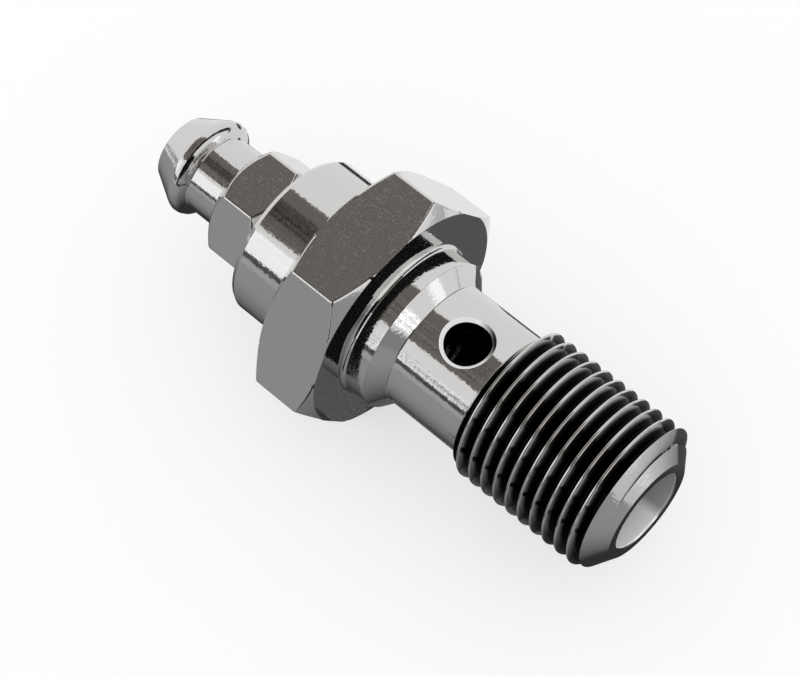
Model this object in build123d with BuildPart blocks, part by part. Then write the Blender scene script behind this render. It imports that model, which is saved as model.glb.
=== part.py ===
from build123d import *

import os
from math import cos, pi, radians, sin, tan

# Banjo bolt with a bleed nipple in its head, both turned from hexagon bar and nickel plated.
# Lengths are in mm. The bolt lies along X on one flat of its hexagon, thread end towards +X,
# and the origin is where its axis meets the face under the head.

# Threaded end and shank. The fine M10 thread is a plain cylinder at its major diameter.
thread_d = 10.0
underhead_length = 19.0
end_flat_d = 6.7
end_chamfer_angle = 55
thread_start_x = 8.5
thread_start_angle = 60
shank_d = 8.35

# Pilot under the head, which centres the banjo eye and its washer
pilot_d = 10.4
pilot_length = 1.72
pilot_cone_length = 0.92
pilot_root_radius = 0.35

# Hexagon head, turned off at its corners on both faces
hexagon_sides = 6
hex_across_flats = 15.0
head_thickness = 4.7
head_chamfer_angle = 32
bearing_face_d = 15.2
top_face_d = 14.5

# Round boss on the head, which holds the nipple
boss_d = 10.9
boss_height = 4.3
boss_rim_chamfer = 0.18
boss_root_radius = 0.3

# Main passage up from the thread end, with a cross drilling through the shank
bore_d = 5.2
bore_depth = 15.8
bore_mouth_chamfer = 0.11
drill_point_angle = 59
passage_d = 2.2
cross_hole_d = 2.8
cross_hole_x = 5.55
cross_hole_chamfer = 0.24

# Nipple socket in the boss, and the conical seat at its bottom
socket_depth = 4.6
socket_mouth_chamfer = 0.3
seat_bore_d = 5.1
seat_bore_depth = 1.2
seat_angle = 45
thread_clearance = 0.05
seat_clearance = 0.05

# Nipple stem, from its conical tip to the relief under its hexagon
nipple_thread_d = 6.0
nipple_thread_lead = 0.25
nipple_thread_chamfer = 0.4
nipple_tip_d = 1.8
nipple_pin_d = 4.6
nipple_relief_d = 4.8
nipple_relief_length = 1.2
nipple_relief_angle = 45

# Nipple hexagon, which stands just clear of the boss when the nipple is screwed home
nipple_across_flats = 7.0
nipple_hex_gap = 0.4
nipple_hex_length = 3.6
nipple_face_d = 6.5
nipple_chamfer_angle = 40

# Hose end of the nipple: neck, rounded bead and taper
neck_d = 5.3
neck_length = 2.55
neck_root_radius = 0.15
bead_apex_d = 7.1
bead_back_length = 0.55
bead_radius = 0.6
taper_length = 2.4
taper_end_d = 4.44
taper_rim_radius = 0.15

# Passages inside the nipple
nipple_bore_d = 2.0
nipple_bore_mouth = 0.2
nipple_bore_end_gap = 0.35
nipple_cross_d = 1.2
nipple_cross_inset = 0.85

# Slack that a cutting or trimming shape runs past the metal that it works on
overrun = 1.0

# Difference below which two sizes or stations count as the same
same_size = 0.001


def run(start_d, end_d, angle):
    """Length along the axis of a cone between two diameters, at an angle to the axis."""
    return abs(end_d - start_d) / 2 / tan(radians(angle))


def corner_diameter(across_flats):
    return across_flats / cos(pi / hexagon_sides)


def hexagon_blank(low_x, high_x, across_flats, low_face_d, high_face_d, chamfer_angle):
    """Half section of the lens that turns off both faces of a hexagon, drawn past its corners."""
    outer_d = corner_diameter(across_flats) + overrun
    low_drop = (outer_d - low_face_d) / 2 * tan(radians(chamfer_angle))
    high_drop = (outer_d - high_face_d) / 2 * tan(radians(chamfer_angle))
    return [
        (low_x, 0),
        (low_x, low_face_d / 2),
        (low_x + low_drop, outer_d / 2),
        (high_x - high_drop, outer_d / 2),
        (high_x, high_face_d / 2),
        (high_x, 0),
    ]


def ring_edges(part, x, diameter):
    """The round edges of one diameter at one station along the axis."""
    rings = part.edges().filter_by(GeomType.CIRCLE)
    rings = rings.filter_by(lambda edge: abs(edge.radius - diameter / 2) < same_size)
    return rings.filter_by(lambda edge: abs(edge.center().X - x) < same_size)


# Stations along the axis of the bolt
boss_end_x = -head_thickness - boss_height
cone_end_x = pilot_length + pilot_cone_length
thread_foot_x = thread_start_x - run(shank_d, thread_d, thread_start_angle)
end_chamfer_x = underhead_length - run(end_flat_d, thread_d, end_chamfer_angle)
bore_end_x = underhead_length - bore_depth
drill_point_x = bore_end_x - run(bore_d, passage_d, drill_point_angle)
socket_end_x = boss_end_x + socket_depth
seat_top_x = socket_end_x + seat_bore_depth
seat_foot_x = seat_top_x + run(seat_bore_d, passage_d, seat_angle)
socket_d = nipple_thread_d + 2 * thread_clearance
head_middle_x = -head_thickness / 2

with BuildPart() as bolt_body:
    with BuildSketch(Plane.YZ):
        RegularPolygon(hex_across_flats / 2, hexagon_sides, major_radius=False)
    extrude(amount=-head_thickness)
    with BuildSketch(Plane.XZ):
        with BuildLine():
            Polyline(
                *hexagon_blank(
                    -head_thickness, 0, hex_across_flats, top_face_d, bearing_face_d, head_chamfer_angle
                ),
                close=True,
            )
        make_face()
    revolve(axis=Axis.X, mode=Mode.INTERSECT)

    # Boss, pilot, shank and thread, turned in one setting
    with BuildSketch(Plane.XZ):
        with BuildLine():
            Polyline(
                (boss_end_x, 0),
                (boss_end_x, boss_d / 2),
                (head_middle_x, boss_d / 2),
                (head_middle_x, pilot_d / 2),
                (pilot_length, pilot_d / 2),
                (cone_end_x, shank_d / 2),
                (thread_foot_x, shank_d / 2),
                (thread_start_x, thread_d / 2),
                (end_chamfer_x, thread_d / 2),
                (underhead_length, end_flat_d / 2),
                (underhead_length, 0),
                close=True,
            )
        make_face()
    revolve(axis=Axis.X)
    chamfer(ring_edges(bolt_body, boss_end_x, boss_d), boss_rim_chamfer)
    fillet(ring_edges(bolt_body, -head_thickness, boss_d), boss_root_radius)
    fillet(ring_edges(bolt_body, 0, pilot_d), pilot_root_radius)

    # Main passage, seat and nipple socket, bored from both ends
    with BuildSketch(Plane.XZ):
        with BuildLine():
            Polyline(
                (underhead_length, 0),
                (underhead_length, bore_d / 2),
                (bore_end_x, bore_d / 2),
                (drill_point_x, passage_d / 2),
                (seat_foot_x, passage_d / 2),
                (seat_top_x, seat_bore_d / 2),
                (socket_end_x, seat_bore_d / 2),
                (socket_end_x, socket_d / 2),
                (boss_end_x, socket_d / 2),
                (boss_end_x, 0),
                close=True,
            )
        make_face()
    revolve(axis=Axis.X, mode=Mode.SUBTRACT)
    chamfer(ring_edges(bolt_body, underhead_length, bore_d), bore_mouth_chamfer)
    chamfer(ring_edges(bolt_body, boss_end_x, socket_d), socket_mouth_chamfer)

    # Cross drilling, square to two flats of the hexagon and through both walls
    with BuildSketch():
        with Locations((cross_hole_x, 0)):
            Circle(cross_hole_d / 2)
    extrude(amount=thread_d, both=True, mode=Mode.SUBTRACT)
    shank_face = bolt_body.faces().filter_by(GeomType.CYLINDER)
    shank_face = shank_face.filter_by(lambda face: abs(face.radius - shank_d / 2) < same_size)
    hole_mouths = shank_face.edges().filter_by(GeomType.CIRCLE, reverse=True)
    hole_mouths = hole_mouths.filter_by(GeomType.LINE, reverse=True)
    chamfer(hole_mouths, cross_hole_chamfer)

# Stations along the nipple, which is drawn where it seats
cone_shift = seat_clearance / sin(radians(seat_angle))
nipple_tip_x = seat_foot_x + run(passage_d, nipple_tip_d, seat_angle) - cone_shift
nipple_cone_x = nipple_tip_x - run(nipple_tip_d, nipple_pin_d, seat_angle)
nipple_thread_x = socket_end_x - nipple_thread_lead
nipple_hex_x = boss_end_x - nipple_hex_gap
nipple_relief_x = nipple_hex_x + nipple_relief_length
relief_slope = run(nipple_relief_d, nipple_thread_d, nipple_relief_angle)
nipple_top_x = nipple_hex_x - nipple_hex_length
neck_end_x = nipple_top_x - neck_length
bead_x = neck_end_x - bead_back_length
hose_end_x = bead_x - taper_length
nipple_hex_middle_x = nipple_hex_x - nipple_hex_length / 2
nipple_cross_x = nipple_cone_x - nipple_cross_inset
nipple_bore_end_x = nipple_cross_x + nipple_cross_d / 2 + nipple_bore_end_gap

with BuildPart() as bleed_nipple:
    with BuildSketch(Plane.YZ.offset(nipple_hex_x)):
        RegularPolygon(nipple_across_flats / 2, hexagon_sides, major_radius=False)
    extrude(amount=-nipple_hex_length)
    with BuildSketch(Plane.XZ):
        with BuildLine():
            Polyline(
                *hexagon_blank(
                    nipple_top_x,
                    nipple_hex_x,
                    nipple_across_flats,
                    nipple_face_d,
                    nipple_face_d,
                    nipple_chamfer_angle,
                ),
                close=True,
            )
        make_face()
    revolve(axis=Axis.X, mode=Mode.INTERSECT)

    # Stem, neck, bead and taper, turned in one setting
    with BuildSketch(Plane.XZ):
        with BuildLine():
            Polyline(
                (nipple_tip_x, 0),
                (nipple_tip_x, nipple_tip_d / 2),
                (nipple_cone_x, nipple_pin_d / 2),
                (nipple_thread_x, nipple_pin_d / 2),
                (nipple_thread_x, nipple_thread_d / 2),
                (nipple_relief_x + relief_slope, nipple_thread_d / 2),
                (nipple_relief_x, nipple_relief_d / 2),
                (nipple_hex_middle_x, nipple_relief_d / 2),
                (nipple_hex_middle_x, neck_d / 2),
                (neck_end_x, neck_d / 2),
                (bead_x, bead_apex_d / 2),
                (hose_end_x, taper_end_d / 2),
                (hose_end_x, 0),
                close=True,
            )
        make_face()
    revolve(axis=Axis.X)
    chamfer(ring_edges(bleed_nipple, nipple_thread_x, nipple_thread_d), nipple_thread_chamfer)
    fillet(ring_edges(bleed_nipple, bead_x, bead_apex_d), bead_radius)
    fillet(ring_edges(bleed_nipple, neck_end_x, neck_d), neck_root_radius)
    fillet(ring_edges(bleed_nipple, hose_end_x, taper_end_d), taper_rim_radius)

    # Blind bore from the hose end, with a cross drilling above the conical tip
    with BuildSketch(Plane.YZ.offset(hose_end_x)):
        Circle(nipple_bore_d / 2)
    extrude(amount=nipple_bore_end_x - hose_end_x, mode=Mode.SUBTRACT)
    chamfer(ring_edges(bleed_nipple, hose_end_x, nipple_bore_d), nipple_bore_mouth)
    with BuildSketch():
        with Locations((nipple_cross_x, 0)):
            Circle(nipple_cross_d / 2)
    extrude(amount=nipple_pin_d, both=True, mode=Mode.SUBTRACT)

os.makedirs("parts", exist_ok=True)
bolt_body.part.label = "bolt_body"
export_step(bolt_body.part, "parts/bolt_body.step")
bleed_nipple.part.label = "bleed_nipple"
export_step(bleed_nipple.part, "parts/bleed_nipple.step")
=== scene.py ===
from math import cos, pi, radians, sin, sqrt, tan

import bmesh
import bpy
from mathutils import Matrix, Vector


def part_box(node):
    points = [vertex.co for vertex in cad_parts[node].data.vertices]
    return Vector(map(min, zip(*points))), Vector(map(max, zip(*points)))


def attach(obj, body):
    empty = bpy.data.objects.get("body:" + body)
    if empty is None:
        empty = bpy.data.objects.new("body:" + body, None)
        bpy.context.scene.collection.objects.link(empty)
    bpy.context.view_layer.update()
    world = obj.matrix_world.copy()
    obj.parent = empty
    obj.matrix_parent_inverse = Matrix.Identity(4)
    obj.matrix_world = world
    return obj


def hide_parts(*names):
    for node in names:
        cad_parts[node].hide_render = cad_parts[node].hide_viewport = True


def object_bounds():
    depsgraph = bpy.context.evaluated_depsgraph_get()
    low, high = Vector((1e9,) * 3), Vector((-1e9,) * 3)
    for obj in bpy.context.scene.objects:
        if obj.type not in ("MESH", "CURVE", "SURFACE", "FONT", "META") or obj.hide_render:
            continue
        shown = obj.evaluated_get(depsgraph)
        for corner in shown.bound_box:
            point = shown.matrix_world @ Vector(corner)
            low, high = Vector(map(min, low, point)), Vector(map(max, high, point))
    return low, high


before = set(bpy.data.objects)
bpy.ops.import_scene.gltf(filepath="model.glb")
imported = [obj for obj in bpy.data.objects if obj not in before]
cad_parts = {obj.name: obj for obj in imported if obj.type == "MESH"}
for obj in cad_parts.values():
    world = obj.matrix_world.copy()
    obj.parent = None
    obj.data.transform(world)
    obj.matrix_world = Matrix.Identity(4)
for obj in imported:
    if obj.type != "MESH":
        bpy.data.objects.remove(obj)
cad_low, cad_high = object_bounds()

# Bolt body: one turned piece of steel, milled to a hexagon, bored through, cross drilled and
# nickel plated. Sizes are in millimetres, and stations run along the axis from the face under
# the head. The fine thread is cut here at its true form, with narrow rounded crests.
mm = 0.001
body_low, body_high = (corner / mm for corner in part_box("bolt_body"))
boss_end_x = body_low.x
thread_end_x = body_high.x

# Hexagon head, turned off at its corners, and the boss on it
head_across_flats = body_high.z - body_low.z
head_corner_r = body_high.y
head_top_x = -4.7
head_chamfer_angle = radians(32)
top_face_r = 7.25
bearing_face_r = 7.6
head_rim = 0.3
lens_slack = 0.5
boss_r = 5.45
boss_rim_length = 0.32
boss_rim_depth = 0.18
boss_root_radius = 0.45

# Pilot and shank
pilot_r = 5.2
pilot_x = 1.72
pilot_root_radius = 0.35
shank_r = 4.175
shank_x = 2.64
shank_root_radius = 0.15
thread_foot_x = 8.024
thread_start_angle = radians(60)

# Thread and end cone
thread_r = 5.0
thread_root_r = 4.25
thread_flank = radians(62)
thread_crest_share = 0.45
thread_crest_rounding = 0.9
thread_root_rounding = 0.8
thread_runout_length = 1.1
thread_runout_gain = 0.55
thread_pitch = 0.93
thread_crest_x = 8.69
end_flat_r = 3.35
end_chamfer_angle = radians(55)

# Drillings, seat and nipple socket
bore_r = 2.6
bore_end_x = 3.2
bore_mouth_chamfer = 0.11
drill_point_angle = radians(59)
passage_r = 1.1
seat_foot_x = -1.75
seat_top_x = -3.2
seat_bore_r = 2.55
socket_end_x = -4.4
socket_r = 3.05
socket_mouth_chamfer = 0.3
cross_hole_x = 5.55
cross_hole_r = 1.4
cross_hole_chamfer = 0.24

# Broken edges: turned ones, and those of a hexagon, which turn by about 60 degrees
soft_edge = 0.05
hexagon_sides = 6
hexagon_edge = 0.13
hexagon_edge_steps = 4
hexagon_edge_least = radians(40)
hexagon_edge_most = radians(80)
inside_flats = cos(radians(10))

# Fineness of the meshes
weld_distance = 0.0001
turn_steps = 240
arc_steps = 4
thread_steps = 144
drill_steps = 96
sharp_angle = radians(25)


def rounded(corners, closed):
    """Outline through (x, r, radius) corners, each one drawn as an arc of its own radius."""
    outline = []
    count = len(corners)
    for place, (x, r, radius) in enumerate(corners):
        corner = Vector((x, r))
        if radius == 0 or not closed and place in (0, count - 1):
            outline.append(corner)
            continue
        back = (Vector(corners[place - 1][:2]) - corner).normalized()
        ahead = (Vector(corners[(place + 1) % count][:2]) - corner).normalized()
        half = back.angle(ahead) / 2
        centre = corner + (back + ahead).normalized() * radius / sin(half)
        reach = radius / tan(half)
        first = (corner + back * reach - centre).normalized()
        last = (corner + ahead * reach - centre).normalized()
        for step in range(arc_steps + 1):
            outline.append(centre + first.slerp(last, step / arc_steps) * radius)
    return outline


def turned(corners, closed):
    """Half section turned a full circle about the axis of the bolt."""
    shape = bmesh.new()
    verts = [shape.verts.new((x, 0, r)) for x, r in rounded(corners, closed)]
    edges = [shape.edges.new(pair) for pair in zip(verts, verts[1:])]
    if closed:
        edges.append(shape.edges.new((verts[-1], verts[0])))
    bmesh.ops.spin(
        shape,
        geom=verts + edges,
        cent=(0, 0, 0),
        axis=(1, 0, 0),
        angle=2 * pi,
        steps=turn_steps,
        use_merge=True,
    )
    bmesh.ops.remove_doubles(shape, verts=shape.verts, dist=weld_distance)
    bmesh.ops.recalc_face_normals(shape, faces=shape.faces)
    return shape


def milled(shape, low_x, high_x, across_flats, keep_r):
    """Six flats milled on a turned blank and their edges broken, but not where they pass keep_r."""
    flat_r = across_flats / 2
    low_x -= soft_edge
    high_x += soft_edge
    for flat in range(hexagon_sides):
        away = Matrix.Rotation(flat * 2 * pi / hexagon_sides, 3, "X") @ Vector((0, 0, 1))
        faces = [face for face in shape.faces if low_x < face.calc_center_median().x < high_x]
        edges = list(dict.fromkeys(edge for face in faces for edge in face.edges))
        verts = list(dict.fromkeys(vert for face in faces for vert in face.verts))
        bmesh.ops.bisect_plane(
            shape,
            geom=faces + edges + verts,
            dist=weld_distance,
            plane_co=away * flat_r,
            plane_no=away,
            clear_outer=True,
        )
        bmesh.ops.edgeloop_fill(shape, edges=[edge for edge in shape.edges if edge.is_boundary])
    bmesh.ops.recalc_face_normals(shape, faces=shape.faces)
    sharp = []
    for edge in shape.edges:
        middle = (edge.verts[0].co + edge.verts[1].co) / 2
        on_head = low_x < middle.x < high_x and middle.yz.length > flat_r * inside_flats
        clear = abs(middle.yz.length - keep_r) > hexagon_edge
        if on_head and clear and hexagon_edge_least < edge.calc_face_angle(0) < hexagon_edge_most:
            sharp.append(edge)
    bmesh.ops.bevel(
        shape,
        geom=sharp,
        offset=hexagon_edge,
        segments=hexagon_edge_steps,
        profile=0.5,
        affect="EDGES",
        material=-1,
        clamp_overlap=False,
    )
    return shape


def thread_form(crest_x, crest_r, root_r, pitch, flank):
    """One pitch of a thread from root to root, its crest and root rounded."""
    flats = pitch - 2 * (crest_r - root_r) / tan(flank)
    crest_half = flats * thread_crest_share
    root_half = flats / 2 - crest_half
    crest_radius = crest_half * thread_crest_rounding / tan(flank / 2)
    root_radius = root_half * thread_root_rounding / tan(flank / 2)
    low = crest_x - pitch / 2
    corners = [
        (low, root_r, 0),
        (low + root_half, root_r, root_radius),
        (crest_x - crest_half, crest_r, crest_radius),
        (crest_x + crest_half, crest_r, crest_radius),
        (low + pitch - root_half, root_r, root_radius),
        (low + pitch, root_r, 0),
    ]
    return rounded(corners, closed=False)


def thread_cutter(form, turns, pitch, crest_r, clear_r, runout_x, runout_gain):
    """The metal that a thread leaves out: its form led round the axis, thickened outwards.
    Past the runout station the form deepens, so that the groove runs out over the end cone."""
    shape = bmesh.new()
    verts = [shape.verts.new((x, 0, r)) for x, r in form]
    edges = [shape.edges.new(pair) for pair in zip(verts, verts[1:])]
    bmesh.ops.spin(
        shape,
        geom=verts + edges,
        cent=(0, 0, 0),
        axis=(1, 0, 0),
        dvec=(pitch / thread_steps, 0, 0),
        angle=2 * pi,
        steps=thread_steps,
    )
    turn = shape.verts[:] + shape.edges[:] + shape.faces[:]
    for place in range(1, turns):
        copy = bmesh.ops.duplicate(shape, geom=turn)["geom"]
        moved = [vert for vert in copy if isinstance(vert, bmesh.types.BMVert)]
        bmesh.ops.translate(shape, verts=moved, vec=(place * pitch, 0, 0))
    bmesh.ops.remove_doubles(shape, verts=shape.verts, dist=weld_distance)
    for vert in shape.verts:
        radius = vert.co.yz.length
        deepening = 1 + runout_gain * max(vert.co.x - runout_x, 0)
        vert.co.yz = vert.co.yz.normalized() * (crest_r - (crest_r - radius) * deepening)
    sheet = bmesh.ops.extrude_face_region(shape, geom=shape.faces[:], use_keep_orig=True)["geom"]
    for vert in sheet:
        if isinstance(vert, bmesh.types.BMVert):
            vert.co.yz = vert.co.yz.normalized() * clear_r
    bmesh.ops.recalc_face_normals(shape, faces=shape.faces)
    return shape


def drill(x, radius, chamfer, surface_r, clear_z):
    """A cross drilling through both walls, its mouths deburred to follow the round surface."""
    shape = bmesh.new()
    mouth_r = radius + 2 * chamfer
    loops = [
        (mouth_r, 0, clear_z),
        (mouth_r, 1, chamfer),
        (radius, 1, -chamfer),
        (radius, 0, 0),
    ]
    loop = bmesh.ops.create_circle(shape, segments=drill_steps, radius=radius, cap_ends=True)["verts"]
    for place, (loop_r, follows_surface, lift) in enumerate(loops):
        if place:
            rim = [edge for edge in shape.edges if edge.verts[0] in loop and edge.verts[1] in loop]
            grown = bmesh.ops.extrude_edge_only(shape, edges=rim)["geom"]
            loop = [vert for vert in grown if isinstance(vert, bmesh.types.BMVert)]
        for vert in loop:
            spoke = (vert.co.xy - Vector((x if place else 0, 0))).normalized() * loop_r
            vert.co = (x + spoke.x, spoke.y, lift + follows_surface * sqrt(surface_r**2 - spoke.y**2))
    bmesh.ops.mirror(shape, geom=shape.verts[:] + shape.edges[:] + shape.faces[:], axis="Z")
    bmesh.ops.remove_doubles(shape, verts=shape.verts, dist=weld_distance)
    bmesh.ops.recalc_face_normals(shape, faces=shape.faces)
    return shape


def piece_of(shape, name):
    """A piece of the scene from a finished shape."""
    mesh = bpy.data.meshes.new(name)
    shape.to_mesh(mesh)
    shape.free()
    piece = bpy.data.objects.new(name, mesh)
    bpy.context.scene.collection.objects.link(piece)
    return piece


def settle(piece):
    """Makes the modifiers of a piece part of its mesh."""
    graph = bpy.context.evaluated_depsgraph_get()
    mesh = bpy.data.meshes.new_from_object(piece.evaluated_get(graph))
    piece.modifiers.clear()
    piece.data = mesh


def cut_from(piece, shape):
    """Takes a cutting shape out of a piece."""
    cutter = piece_of(shape, "cutter")
    cut = piece.modifiers.new("cut", "BOOLEAN")
    cut.object = cutter
    cut.operation = "DIFFERENCE"
    cut.solver = "EXACT"
    settle(piece)
    bpy.data.objects.remove(cutter)


def polished(piece):
    """Smooths a finished piece between its sharp edges and scales it to metres."""
    piece.data.shade_smooth()
    piece.data.set_sharp_from_angle(angle=sharp_angle)
    shading = piece.modifiers.new("shading", "WEIGHTED_NORMAL")
    shading.keep_sharp = True
    settle(piece)
    piece.data.transform(Matrix.Scale(mm, 4))


def cone_run(low_r, high_r, angle):
    """Length along the axis of a cone between two radii."""
    return (high_r - low_r) / tan(angle)


lens_r = head_corner_r + lens_slack
low_drop = (lens_r - top_face_r) * tan(head_chamfer_angle)
high_drop = (lens_r - bearing_face_r) * tan(head_chamfer_angle)
thread_blank_r = thread_r + soft_edge
body = turned(
    [
        (boss_end_x, socket_r + socket_mouth_chamfer, soft_edge),
        (boss_end_x, boss_r - boss_rim_depth, soft_edge),
        (boss_end_x + boss_rim_length, boss_r, soft_edge),
        (head_top_x, boss_r, boss_root_radius),
        (head_top_x, top_face_r, soft_edge),
        (head_top_x + low_drop, lens_r, 0),
        (-high_drop, lens_r, 0),
        (0, bearing_face_r, 0),
        (0, bearing_face_r - head_rim, 0),
        (0, pilot_r, pilot_root_radius),
        (pilot_x, pilot_r, soft_edge),
        (shank_x, shank_r, shank_root_radius),
        (thread_foot_x, shank_r, soft_edge),
        (thread_foot_x + cone_run(shank_r, thread_blank_r, thread_start_angle), thread_blank_r, 0),
        (thread_end_x - cone_run(end_flat_r, thread_blank_r, end_chamfer_angle), thread_blank_r, 0),
        (thread_end_x, end_flat_r, soft_edge),
        (thread_end_x, bore_r + bore_mouth_chamfer, soft_edge / 2),
        (thread_end_x - bore_mouth_chamfer, bore_r, soft_edge / 2),
        (bore_end_x, bore_r, 0),
        (bore_end_x - cone_run(passage_r, bore_r, drill_point_angle), passage_r, 0),
        (seat_foot_x, passage_r, 0),
        (seat_top_x, seat_bore_r, 0),
        (socket_end_x, seat_bore_r, 0),
        (socket_end_x, socket_r, 0),
        (boss_end_x + socket_mouth_chamfer, socket_r, soft_edge),
    ],
    closed=True,
)
milled(body, head_top_x, 0, head_across_flats, bearing_face_r)
bolt = piece_of(body, "bolt")
cut_from(bolt, drill(cross_hole_x, cross_hole_r, cross_hole_chamfer, shank_r, thread_r))
turns_before = 2
turns_after = 12
first_crest_x = thread_crest_x - turns_before * thread_pitch
cut_from(
    bolt,
    thread_cutter(
        thread_form(first_crest_x, thread_r, thread_root_r, thread_pitch, thread_flank),
        turns_before + turns_after,
        thread_pitch,
        thread_r,
        thread_r + lens_slack,
        thread_end_x - thread_runout_length,
        thread_runout_gain,
    ),
)
polished(bolt)
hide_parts("bolt_body")
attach(bolt, "bolt")

# Nickel plate: its colour and polish, and the ripple and marks in it, in metres
nickel_color = (0.62, 0.61, 0.6)
nickel_roughness = 0.055
ripple_length = 0.00022
ripple_height = 0.0000042
grain_length = 0.00007
grain_height = 0.0000009
speck_length = 0.0001
speck_level = 0.57
speck_fade = 0.13
scratch_length = 0.0007
scratch_width = 0.00005
scratch_level = 0.74
scratch_fade = 0.06
mark_roughness = 0.26
turned_mark_roughness = 0.08

# Painted shade: the plate is darkened in the thread's groove and in the drillings
crest_depth = 0.06
groove_depth = 0.3
painted_groove_shade = 0.07
groove_start_x = 8.2
painted_bore_shade = 0.06

# Satin mouth of the main bore and rims of the cross hole, with painted light: a bright and a grey
# side, painted highlights on the rims and painted shade on their far side
mouth_depth = 1.4
mouth_fade = 1.8
mouth_painted_bright = 0.95
mouth_painted_grey = 0.35
mouth_roughness = 0.5
mouth_light_slope_y = -1.2
mouth_light_slope_z = -0.8
rim_highlight_share = 0.85
rim_shade_turn = 1.1
rim_shade_fade = 0.95


def math_step(tree, operation, first, second, clamp=False):
    """One step of arithmetic between two values or sockets of a node tree."""
    step = tree.nodes.new("ShaderNodeMath")
    step.operation = operation
    step.use_clamp = clamp
    for socket, value in zip(step.inputs, (first, second)):
        if isinstance(value, bpy.types.NodeSocket):
            tree.links.new(value, socket)
        else:
            socket.default_value = value
    return step.outputs["Value"]


def distance(tree, first, second):
    """How far two lengths that are square to each other reach together."""
    squares = [math_step(tree, "MULTIPLY", side, side) for side in (first, second)]
    return math_step(tree, "SQRT", math_step(tree, "ADD", *squares), 0)


def plate_group():
    """Handled nickel plate: faint ripple and grain in the polish, dull specks and fine scratches."""
    group = bpy.data.node_groups.new("handled_plate", "ShaderNodeTree")
    sockets = group.interface
    sockets.new_socket("Position", in_out="INPUT", socket_type="NodeSocketVector")
    sockets.new_socket("Roughness", in_out="INPUT", socket_type="NodeSocketFloat")
    sockets.new_socket("Marks", in_out="INPUT", socket_type="NodeSocketFloat")
    sockets.new_socket("Roughness", in_out="OUTPUT", socket_type="NodeSocketFloat")
    sockets.new_socket("Height", in_out="OUTPUT", socket_type="NodeSocketFloat")
    start = group.nodes.new("NodeGroupInput")
    end = group.nodes.new("NodeGroupOutput")

    def noise(lengths, detail):
        scaled = group.nodes.new("ShaderNodeVectorMath")
        scaled.operation = "DIVIDE"
        scaled.inputs[1].default_value = lengths
        group.links.new(start.outputs["Position"], scaled.inputs[0])
        texture = group.nodes.new("ShaderNodeTexNoise")
        texture.inputs["Scale"].default_value = 1
        texture.inputs["Detail"].default_value = detail
        group.links.new(scaled.outputs["Vector"], texture.inputs["Vector"])
        return texture.outputs["Fac"]

    def above(value, level, width):
        return math_step(group, "DIVIDE", math_step(group, "SUBTRACT", value, level), width, clamp=True)

    ripple = math_step(group, "MULTIPLY", noise([ripple_length] * 3, detail=1), ripple_height)
    grain = math_step(group, "MULTIPLY", noise([grain_length] * 3, detail=2), grain_height)
    group.links.new(math_step(group, "ADD", ripple, grain), end.inputs["Height"])

    specks = above(noise([speck_length] * 3, detail=2), speck_level, speck_fade)
    lengthwise = noise([scratch_length, scratch_width, scratch_width], detail=0)
    lengthwise = above(lengthwise, scratch_level, scratch_fade)
    crosswise = noise([scratch_width, scratch_length, scratch_width], detail=0)
    crosswise = above(crosswise, scratch_level, scratch_fade)
    marks = math_step(group, "MAXIMUM", specks, math_step(group, "MAXIMUM", lengthwise, crosswise))
    dull = math_step(group, "MULTIPLY", marks, start.outputs["Marks"])
    group.links.new(math_step(group, "ADD", start.outputs["Roughness"], dull), end.inputs["Roughness"])
    return group


def plated(name, group):
    """Polished nickel plate for one piece, which reads the shared marks at the piece's own places."""
    material = bpy.data.materials.new(name)
    material.use_nodes = True
    tree = material.node_tree
    place = tree.nodes.new("ShaderNodeTexCoord")
    plate = tree.nodes.new("ShaderNodeGroup")
    plate.node_tree = group
    tree.links.new(place.outputs["Object"], plate.inputs["Position"])
    bump = tree.nodes.new("ShaderNodeBump")
    bump.inputs["Distance"].default_value = 1.0
    tree.links.new(plate.outputs["Height"], bump.inputs["Height"])
    surface = tree.nodes["Principled BSDF"]
    surface.inputs["Metallic"].default_value = 1
    surface.inputs["Base Color"].default_value = (*nickel_color, 1)
    plate.inputs["Roughness"].default_value = nickel_roughness
    plate.inputs["Marks"].default_value = mark_roughness
    tree.links.new(plate.outputs["Roughness"], surface.inputs["Roughness"])
    tree.links.new(bump.outputs["Normal"], surface.inputs["Normal"])
    return material


def places_on_bolt(tree):
    """Station along the axis, offsets across it and upward, and distance from it, in millimetres."""
    apart = tree.nodes.new("ShaderNodeSeparateXYZ")
    tree.links.new(tree.nodes["Texture Coordinate"].outputs["Object"], apart.inputs["Vector"])
    along = math_step(tree, "DIVIDE", apart.outputs["X"], mm)
    across = math_step(tree, "DIVIDE", apart.outputs["Y"], mm)
    upward = math_step(tree, "DIVIDE", apart.outputs["Z"], mm)
    return along, across, upward, distance(tree, across, upward)


def shaded(tree, mask, share):
    """1 outside a mask, and short of it by a share inside."""
    return math_step(tree, "SUBTRACT", 1, math_step(tree, "MULTIPLY", mask, share))


def painted_thread_shade(tree, along, from_axis):
    """Painted shade in the thread's groove: the share of its colour that the plate keeps, less towards the
    root.
    """
    from_end = math_step(tree, "SUBTRACT", thread_end_x, along)
    end_cone_r = math_step(tree, "MULTIPLY", from_end, tan(end_chamfer_angle))
    end_cone_r = math_step(tree, "ADD", end_cone_r, end_flat_r)
    blank_r = math_step(tree, "MINIMUM", end_cone_r, thread_r)
    below_blank = math_step(tree, "SUBTRACT", blank_r, from_axis)
    below_crest = math_step(tree, "SUBTRACT", below_blank, crest_depth)
    groove = math_step(tree, "DIVIDE", below_crest, groove_depth, clamp=True)
    past_shank = math_step(tree, "GREATER_THAN", along, groove_start_x)
    groove = math_step(tree, "MULTIPLY", groove, past_shank)
    outside = math_step(tree, "GREATER_THAN", from_axis, shank_r)
    return shaded(tree, math_step(tree, "MULTIPLY", groove, outside), 1 - painted_groove_shade)


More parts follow.
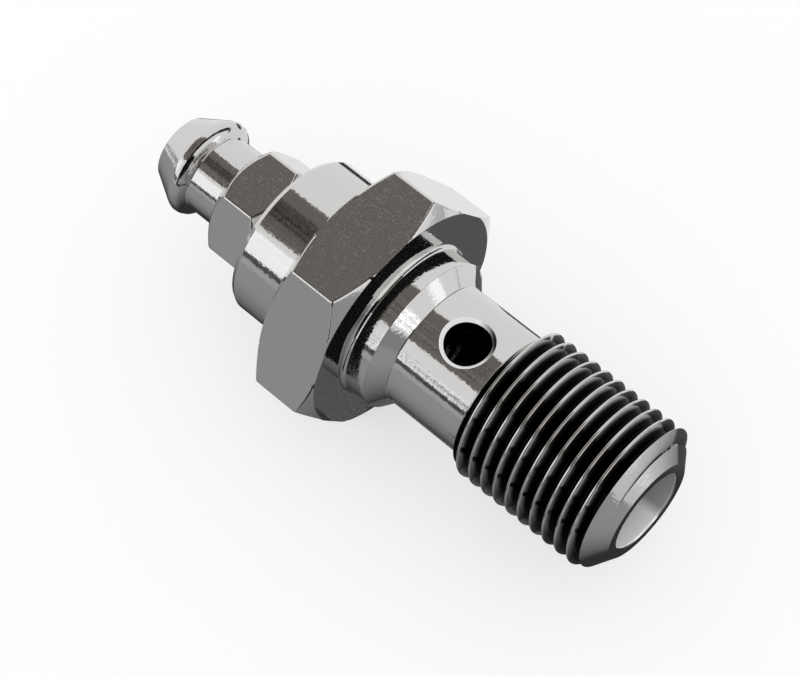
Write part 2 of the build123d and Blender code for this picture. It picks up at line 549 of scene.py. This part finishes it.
def bore_masks(tree, along, from_axis):
    """The satin mouth of the main bore, which fades inwards, and the rest of the bore, which takes painted
    shade.
    """
    in_bore = math_step(tree, "LESS_THAN", from_axis, bore_r + soft_edge)
    past_fade = math_step(tree, "SUBTRACT", along, thread_end_x - mouth_depth - mouth_fade)
    in_mouth = math_step(tree, "DIVIDE", past_fade, mouth_fade, clamp=True)
    mouth = math_step(tree, "MULTIPLY", in_bore, in_mouth)
    return mouth, math_step(tree, "SUBTRACT", in_bore, mouth)


def hole_masks(tree, along, across, from_axis):
    """The inside of the cross hole, which takes painted shade, its deburred rims, and the side of the rims
    that takes painted shade.
    """
    past_hole = math_step(tree, "SUBTRACT", along, cross_hole_x)
    from_hole = distance(tree, past_hole, across)
    rim_r = cross_hole_r + cross_hole_chamfer
    in_hole = math_step(tree, "LESS_THAN", from_hole, cross_hole_r + soft_edge / 2)
    near_hole = math_step(tree, "LESS_THAN", from_hole, rim_r + soft_edge / 2)
    outside = math_step(tree, "GREATER_THAN", from_axis, bore_r + soft_edge)
    rim = math_step(tree, "MULTIPLY", math_step(tree, "SUBTRACT", near_hole, in_hole), outside)
    # Painted shade on the side of the rims towards +X and +Y
    turned_away = math_step(tree, "ADD", past_hole, across)
    turned_away = math_step(tree, "SUBTRACT", turned_away, rim_shade_turn)
    turned_away = math_step(tree, "MULTIPLY", turned_away, rim_shade_fade, clamp=True)
    return in_hole, rim, math_step(tree, "MULTIPLY", rim, turned_away)


def painted_satin_light(tree, across, upward, rim, painted_rim_shade):
    """Painted light on the satin metal: brighter on the side away from +Y, a painted highlight on the
    rims, and painted shade on their far side.
    """
    to_light = math_step(
        tree,
        "ADD",
        math_step(tree, "MULTIPLY", across, mouth_light_slope_y),
        math_step(tree, "MULTIPLY", upward, mouth_light_slope_z),
        clamp=True,
    )
    to_light = math_step(tree, "MAXIMUM", to_light, math_step(tree, "MULTIPLY", rim, rim_highlight_share))
    tone = math_step(tree, "MULTIPLY", to_light, mouth_painted_bright - mouth_painted_grey)
    tone = math_step(tree, "ADD", tone, mouth_painted_grey)
    return math_step(tree, "MULTIPLY", tone, math_step(tree, "SUBTRACT", 1, painted_rim_shade))


def finish_bolt(material):
    """Paints shade into the bolt's groove and drillings, leaves its mouths satin with painted light and
    marks its flats most.
    """
    tree = material.node_tree
    along, across, upward, from_axis = places_on_bolt(tree)
    mouth, painted_shade_deep_in_bore = bore_masks(tree, along, from_axis)
    in_hole, rim, painted_rim_shade = hole_masks(tree, along, across, from_axis)
    painted_shade_in_drillings = math_step(tree, "MAXIMUM", painted_shade_deep_in_bore, in_hole)
    satin_part = math_step(tree, "MAXIMUM", mouth, rim)

    # Painted shade darkens the nickel in the groove and drillings; the satin parts take painted light
    tint = tree.nodes.new("ShaderNodeVectorMath")
    tint.operation = "SCALE"
    tint.inputs[0].default_value = nickel_color
    painted_shade_kept = painted_thread_shade(tree, along, from_axis)
    painted_shade_kept = math_step(tree, "MULTIPLY", painted_shade_kept, shaded(tree, painted_shade_in_drillings, 1 - painted_bore_shade))
    tree.links.new(painted_shade_kept, tint.inputs["Scale"])
    satin = tree.nodes.new("ShaderNodeCombineColor")
    tone = painted_satin_light(tree, across, upward, rim, painted_rim_shade)
    for channel in satin.inputs:
        tree.links.new(tone, channel)
    color = tree.nodes.new("ShaderNodeMix")
    color.data_type = "RGBA"
    tree.links.new(satin_part, color.inputs["Factor"])
    tree.links.new(tint.outputs["Vector"], color.inputs["A"])
    tree.links.new(satin.outputs["Color"], color.inputs["B"])

    surface = tree.nodes["Principled BSDF"]
    tree.links.new(color.outputs["Result"], surface.inputs["Base Color"])
    tree.links.new(math_step(tree, "SUBTRACT", 1, satin_part), surface.inputs["Metallic"])
    plate = tree.nodes["Group"]
    rough = math_step(tree, "MULTIPLY", satin_part, mouth_roughness)
    tree.links.new(math_step(tree, "MAXIMUM", rough, nickel_roughness), plate.inputs["Roughness"])
    on_flats = math_step(tree, "GREATER_THAN", from_axis, head_across_flats / 2 - soft_edge)
    milled_marks = math_step(tree, "MULTIPLY", on_flats, mark_roughness - turned_mark_roughness)
    marks = math_step(tree, "ADD", milled_marks, turned_mark_roughness)
    tree.links.new(marks, plate.inputs["Marks"])


plate_marks = plate_group()
bolt_plate = plated("bolt_plate", plate_marks)
finish_bolt(bolt_plate)
bolt.data.materials.append(bolt_plate)

# Bleed nipple: turned from hexagon bar and screwed into the boss. Its hose end has a rounded bead
# and a taper, and its conical tip closes the seat inside the bolt.
nipple_low, nipple_high = (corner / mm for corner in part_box("bleed_nipple"))
hose_end_x = nipple_low.x
nipple_tip_x = nipple_high.x
nipple_tip_r = 0.9
nipple_pin_r = 2.3
nipple_cone_x = nipple_tip_x - (nipple_pin_r - nipple_tip_r)
nipple_thread_x = -4.65
nipple_thread_r = 3.0
nipple_thread_chamfer = 0.4
nipple_relief_x = -8.2
nipple_relief_r = 2.4
nipple_hex_x = -9.4
nipple_top_x = -13.0
nipple_across_flats = 7.0
nipple_corner_r = nipple_high.y
nipple_face_r = 3.25
nipple_chamfer_angle = radians(40)
neck_r = 2.65
neck_end_x = -15.55
neck_root_radius = 0.15
bead_x = -16.1
bead_apex_r = 3.55
bead_radius = 0.6
taper_end_r = 2.22
taper_rim_radius = 0.15
nipple_bore_r = 1.0
nipple_bore_mouth = 0.2
nipple_bore_end_x = -2.92

nipple_lens_r = nipple_corner_r + lens_slack
nipple_drop = (nipple_lens_r - nipple_face_r) * tan(nipple_chamfer_angle)
nipple_shape = turned(
    [
        (nipple_tip_x, 0, 0),
        (nipple_tip_x, nipple_tip_r, 0),
        (nipple_cone_x, nipple_pin_r, 0),
        (nipple_thread_x, nipple_pin_r, 0),
        (nipple_thread_x, nipple_thread_r - nipple_thread_chamfer, 0),
        (nipple_thread_x - nipple_thread_chamfer, nipple_thread_r, 0),
        (nipple_relief_x + nipple_thread_r - nipple_relief_r, nipple_thread_r, 0),
        (nipple_relief_x, nipple_relief_r, 0),
        (nipple_hex_x, nipple_relief_r, 0),
        (nipple_hex_x, nipple_face_r, soft_edge),
        (nipple_hex_x - nipple_drop, nipple_lens_r, 0),
        (nipple_top_x + nipple_drop, nipple_lens_r, 0),
        (nipple_top_x, nipple_face_r, soft_edge),
        (nipple_top_x, neck_r, soft_edge),
        (neck_end_x, neck_r, neck_root_radius),
        (bead_x, bead_apex_r, bead_radius),
        (hose_end_x, taper_end_r, taper_rim_radius),
        (hose_end_x, nipple_bore_r + nipple_bore_mouth, soft_edge),
        (hose_end_x + nipple_bore_mouth, nipple_bore_r, soft_edge),
        (nipple_bore_end_x, nipple_bore_r, 0),
        (nipple_bore_end_x, 0, 0),
    ],
    closed=False,
)
milled(nipple_shape, nipple_top_x, nipple_hex_x, nipple_across_flats, nipple_lens_r)
nipple = piece_of(nipple_shape, "nipple")
polished(nipple)
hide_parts("bleed_nipple")
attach(nipple, "nipple")
nipple.data.materials.append(plated("nipple_plate", plate_marks))

# Table: a plain white top, level with the flat that the bolt lies on. It shows white to the
# camera and to the polished metal, and keeps a faint soft shadow of the bolt.
table_size = 4.0
table_shade = 0.4
table_roughness = 0.8

table_shape = bmesh.new()
bmesh.ops.create_grid(table_shape, x_segments=1, y_segments=1, size=table_size / 2)
bmesh.ops.translate(table_shape, verts=table_shape.verts, vec=(0, 0, cad_low.z))
table = piece_of(table_shape, "table")
table_paint = bpy.data.materials.new("table_paint")
table_paint.use_nodes = True
tree = table_paint.node_tree
paint = tree.nodes["Principled BSDF"]
paint.inputs["Base Color"].default_value = (table_shade, table_shade, table_shade, 1)
paint.inputs["Roughness"].default_value = table_roughness
paint.inputs["Specular IOR Level"].default_value = 0
paint.inputs["Emission Color"].default_value = (1, 1, 1, 1)
ray = tree.nodes.new("ShaderNodeLightPath")
seen = math_step(tree, "MAXIMUM", ray.outputs["Is Camera Ray"], ray.outputs["Is Glossy Ray"])
seen = math_step(tree, "MAXIMUM", seen, ray.outputs["Is Transmission Ray"])
tree.links.new(math_step(tree, "MULTIPLY", seen, 1 - table_shade), paint.inputs["Emission Strength"])
table.data.materials.append(table_paint)

# Studio room: plain white walls and ceiling, which light the bolt evenly from all sides and
# show white behind it.
world = bpy.data.worlds.new("studio")
bpy.context.scene.world = world
world.use_nodes = True
world.node_tree.nodes["Background"].inputs["Color"].default_value = (1, 1, 1, 1)
world.node_tree.nodes["Background"].inputs["Strength"].default_value = 1.0

# Studio cards: card sheets bent round the bolt, laid on the table and stood beyond the thread
# end. They show only in the polish: a dark ceiling with streaks, bright, grey and black strips,
# and a floor with a painted shadow that darkens it near the bolt. Lengths from here on are in metres.
card_r = 0.4
inner_card_r = 0.39
card_steps = 32
card_lift = 0.0001
end_card_x = 0.3
mottle_detail = 3
darkest_mottle = 0.05
footprint_r = 5.5 * mm
footprint_middle_x = 0.25 * mm
footprint_half = 18.7 * mm


def scaled_place(tree, lengths):
    """The card's own position, counted in lengths of one feature along each axis."""
    place = tree.nodes.new("ShaderNodeTexCoord")
    scaled = tree.nodes.new("ShaderNodeVectorMath")
    scaled.operation = "DIVIDE"
    tree.links.new(place.outputs["Object"], scaled.inputs[0])
    scaled.inputs[1].default_value = lengths
    return scaled.outputs["Vector"]


def card_paint(name, color, feature=None, contrast=0):
    """Plain glow, or one that is mottled in features of a given length along the axis and across."""
    material = bpy.data.materials.new(name)
    material.use_nodes = True
    tree = material.node_tree
    tree.nodes.remove(tree.nodes["Principled BSDF"])
    glow = tree.nodes.new("ShaderNodeEmission")
    glow.inputs["Color"].default_value = (*color, 1)
    tree.links.new(glow.outputs["Emission"], tree.nodes["Material Output"].inputs["Surface"])
    if feature:
        along, across = feature
        mottle = tree.nodes.new("ShaderNodeTexNoise")
        mottle.inputs["Scale"].default_value = 1
        mottle.inputs["Detail"].default_value = mottle_detail
        tree.links.new(scaled_place(tree, (along, across, across)), mottle.inputs["Vector"])
        swing = math_step(tree, "SUBTRACT", mottle.outputs["Fac"], 0.5)
        swing = math_step(tree, "MULTIPLY", swing, contrast)
        strength = math_step(tree, "MAXIMUM", math_step(tree, "ADD", swing, 1), darkest_mottle)
        tree.links.new(strength, glow.inputs["Strength"])
    return material


def shaded_floor_paint(name, color, near, reach):
    """Glow with a painted shadow: it falls to its near share close to the bolt, as a white floor does in
    its shade.
    """
    material = card_paint(name, color)
    tree = material.node_tree
    apart = tree.nodes.new("ShaderNodeSeparateXYZ")
    tree.links.new(scaled_place(tree, (1, 1, 1)), apart.inputs["Vector"])
    past_middle = math_step(tree, "SUBTRACT", apart.outputs["X"], footprint_middle_x)
    past_middle = math_step(tree, "ABSOLUTE", past_middle, 0)
    past_end = math_step(tree, "SUBTRACT", past_middle, footprint_half)
    past_end = math_step(tree, "MAXIMUM", past_end, 0)
    from_middle = distance(tree, past_end, apart.outputs["Y"])
    clear = math_step(tree, "MAXIMUM", math_step(tree, "SUBTRACT", from_middle, footprint_r), 0)
    fade = math_step(tree, "EXPONENT", math_step(tree, "MULTIPLY", clear, -1 / reach), 0)
    tree.links.new(shaded(tree, fade, 1 - near), tree.nodes["Emission"].inputs["Strength"])
    return material


def show_in_polish_only(card):
    """Hides a card from the camera, and keeps it from lighting or shading anything."""
    card.visible_camera = False
    card.visible_diffuse = False
    card.visible_shadow = False


def bent_card(name, radius, low_angle, high_angle, low_x, high_x, paint):
    """A card bent round the bolt's axis, between two angles that count from +Y over the top."""
    shape = bmesh.new()
    ends = [shape.verts.new((x, radius, 0)) for x in (low_x, high_x)]
    edge = shape.edges.new(ends)
    bmesh.ops.rotate(shape, verts=ends, matrix=Matrix.Rotation(radians(low_angle), 3, "X"))
    bmesh.ops.spin(
        shape,
        geom=[*ends, edge],
        cent=(0, 0, 0),
        axis=(1, 0, 0),
        angle=radians(high_angle - low_angle),
        steps=card_steps,
    )
    card = piece_of(shape, name)
    card.data.materials.append(paint)
    show_in_polish_only(card)


def floor_card(name, low, high, paint):
    """A card on the table between two corners."""
    shape = bmesh.new()
    bmesh.ops.create_grid(shape, x_segments=1, y_segments=1, size=0.5)
    middle = (Vector(low) + Vector(high)) / 2
    bmesh.ops.scale(shape, verts=shape.verts, vec=(high[0] - low[0], high[1] - low[1], 1))
    bmesh.ops.translate(shape, verts=shape.verts, vec=(middle.x, middle.y, cad_low.z + card_lift))
    card = piece_of(shape, name)
    card.data.materials.append(paint)
    show_in_polish_only(card)


def strip_card(name, near_y, far_y, near_width, far_width, slant, paint):
    """A widening strip on the table that leads away from the bolt at a slant."""
    shape = bmesh.new()
    near_x = near_y * slant
    near_end = [shape.verts.new((near_x + side * near_width / 2, near_y, 0)) for side in (-1, 1)]
    edge = shape.edges.new(near_end)
    grown = bmesh.ops.extrude_edge_only(shape, edges=[edge])["geom"]
    far_end = [vert for vert in grown if isinstance(vert, bmesh.types.BMVert)]
    for vert in far_end:
        vert.co.x = far_y * slant + (vert.co.x - near_x) * far_width / near_width
        vert.co.y = far_y
    bmesh.ops.translate(shape, verts=shape.verts, vec=(0, 0, cad_low.z + 2 * card_lift))
    card = piece_of(shape, name)
    card.data.materials.append(paint)
    show_in_polish_only(card)


def end_card(name, low_y, high_y, low_z, high_z, paint):
    """A card that stands across the axis beyond the thread end."""
    shape = bmesh.new()
    edge = shape.edges.new([shape.verts.new((end_card_x, y, low_z)) for y in (low_y, high_y)])
    grown = bmesh.ops.extrude_edge_only(shape, edges=[edge])["geom"]
    top = [vert for vert in grown if isinstance(vert, bmesh.types.BMVert)]
    bmesh.ops.translate(shape, verts=top, vec=(0, 0, high_z - low_z))
    card = piece_of(shape, name)
    card.data.materials.append(paint)
    show_in_polish_only(card)


ceiling_brown = (0.185, 0.173, 0.156)
boss_shade_brown = (0.085, 0.075, 0.066)
window_white = (1.35, 1.35, 1.36)
broken_white = (1.1, 1.1, 1.11)
line_grey = (0.1, 0.1, 0.1)
side_grey = (0.5, 0.5, 0.51)
near_black = (0.01, 0.01, 0.01)
floor_grey = (0.39, 0.39, 0.4)
end_floor_grey = (0.78, 0.78, 0.79)
shank_floor_shadow_grey = (0.12, 0.12, 0.12)
end_limb_shadow_grey = (0.08, 0.08, 0.08)
boss_floor_grey = (0.05, 0.05, 0.05)
end_grey = (0.31, 0.31, 0.31)
end_window_white = (1.5, 1.5, 1.5)
end_glint_white = (1.4, 1.4, 1.4)

ceiling_paint = card_paint("ceiling_paint", ceiling_brown)
streaked_paint = card_paint("streaked_paint", ceiling_brown, feature=(0.008, 0.03), contrast=4)
boss_shade_paint = card_paint("boss_shade_paint", boss_shade_brown, feature=(0.012, 0.035), contrast=6)
window_paint = card_paint("window_paint", window_white, feature=(0.02, 0.02), contrast=0.5)
broken_paint = card_paint("broken_window_paint", broken_white, feature=(0.003, 0.02), contrast=8)
line_paint = card_paint("line_paint", line_grey, feature=(0.004, 0.02), contrast=4)
side_paint = card_paint("side_paint", side_grey)
black_paint = card_paint("black_paint", near_black)

# Each bent card: radius, angles from and to, stations from and to, and paint
bent_card("ceiling_card", card_r, 64, 82, -0.8, 0.08, ceiling_paint)
bent_card("streaked_card", card_r, 82, 126, -0.8, 0.08, streaked_paint)
bent_card("boss_shade_card", inner_card_r, 83, 108, -0.26, -0.172, boss_shade_paint)
bent_card("boss_window_card", card_r, 134, 164, -0.8, -0.16, window_paint)
bent_card("shank_window_card", card_r, 148, 164, -0.16, 0.04, broken_paint)
bent_card("line_card", card_r, 164, 172, -0.8, 0.04, line_paint)
bent_card("side_card", card_r, 172, 200, -0.8, 0.04, side_paint)
bent_card("black_card", card_r, -30, 230, 0.08, 0.24, black_paint)
bent_card("far_black_card", card_r, 107, 172, 0.24, 0.9, black_paint)

side_floor_paint = shaded_floor_paint("side_floor_paint", floor_grey, near=0.1, reach=5.5 * mm)
end_floor_paint = shaded_floor_paint("end_floor_paint", end_floor_grey, near=0.05, reach=20 * mm)
# The dark cards by the shank and the thread end are a painted shadow of the bolt; the one by the shank has
# a fine mottle.
shank_floor_paint = card_paint("shank_floor_paint", shank_floor_shadow_grey, feature=(0.0001, 0.0001), contrast=3)
end_limb_paint = card_paint("end_limb_paint", end_limb_shadow_grey)
boss_floor_paint = card_paint("boss_floor_paint", boss_floor_grey)

# Each card on the table: its low corner, its high corner and its paint
floor_card("side_floor_card", (-0.08, -0.03), (0.5, -0.0055), side_floor_paint)
floor_card("far_side_floor_card", (-0.5, -0.5), (0.5, -0.03), side_floor_paint)
floor_card("under_card", (-0.08, -0.0055), (0.0004, 0.0055), side_floor_paint)
floor_card("nipple_floor_card", (-0.03, 0.0055), (-0.0165, 0.0085), side_floor_paint)
floor_card("root_floor_card", (-0.004, 0.0055), (0.0004, 0.0095), side_floor_paint)
floor_card("shank_floor_card", (0.0004, -0.0055), (0.016, 0.0135), shank_floor_paint)
floor_card("end_floor_card", (0.024, -0.0055), (0.5, 0.042), end_floor_paint)
floor_card("end_foot_card", (0.016, -0.0055), (0.024, 0.008), end_floor_paint)
floor_card("end_limb_card", (0.016, 0.008), (0.024, 0.018), end_limb_paint)
floor_card("boss_floor_card", (-0.022, 0.016), (-0.012, 0.024), boss_floor_paint)

# Two black strips on the table, which lead away from the bolt on either side
strip_card(
    "right_strip_card",
    near_y=-0.0125,
    far_y=-0.39,
    near_width=0.0034,
    far_width=0.1,
    slant=-0.4,
    paint=black_paint,
)
strip_card(
    "left_strip_card",
    near_y=0.036,
    far_y=0.39,
    near_width=0.006,
    far_width=0.1,
    slant=0.37,
    paint=black_paint,
)

# Each card beyond the thread end: from and to along Y, from and to upwards, and paint
end_paint = card_paint("end_paint", end_grey)
end_window_paint = card_paint("end_window_paint", end_window_white)
end_glint_paint = card_paint("end_glint_paint", end_glint_white, feature=(1, 0.006), contrast=8)
end_card("end_shade_card", -0.4, -0.045, cad_low.z, 0.056, end_paint)
end_card("end_window_card", 0.14, 0.26, 0, 0.075, end_window_paint)
end_card("end_glint_card", -0.06, 0.03, 0.056, 0.1, end_glint_paint)

# Camera: the photograph's viewing angle, high above the bolt, from the side of its thread end
# and of -Y. It looks near the bolt's middle, and the roll sets the bolt's slope in the picture.
camera_aim = Vector((0.755, -0.996, 0.012)) * mm
camera_distance = 154.175 * mm
camera_azimuth = radians(50.942)
camera_elevation = radians(62.444)
camera_roll = radians(-9.291)
camera_near = 0.01
camera_lens = 117.009
camera_sensor = 36.0

camera_data = bpy.data.cameras.new("camera")
camera_data.lens = camera_lens
camera_data.sensor_width = camera_sensor
camera_data.clip_start = camera_near
camera = bpy.data.objects.new("camera", camera_data)
bpy.context.scene.collection.objects.link(camera)
bpy.context.scene.camera = camera
camera_back = Vector(
    (
        sin(camera_azimuth) * cos(camera_elevation),
        -cos(camera_azimuth) * cos(camera_elevation),
        sin(camera_elevation),
    )
)
upright = camera_back.to_track_quat("Z", "Y").to_matrix().to_4x4()
camera_place = Matrix.Translation(camera_aim + camera_back * camera_distance)
camera.matrix_world = camera_place @ upright @ Matrix.Rotation(camera_roll, 4, "Z")

view = bpy.context.scene.view_settings
view.view_transform = "Standard"
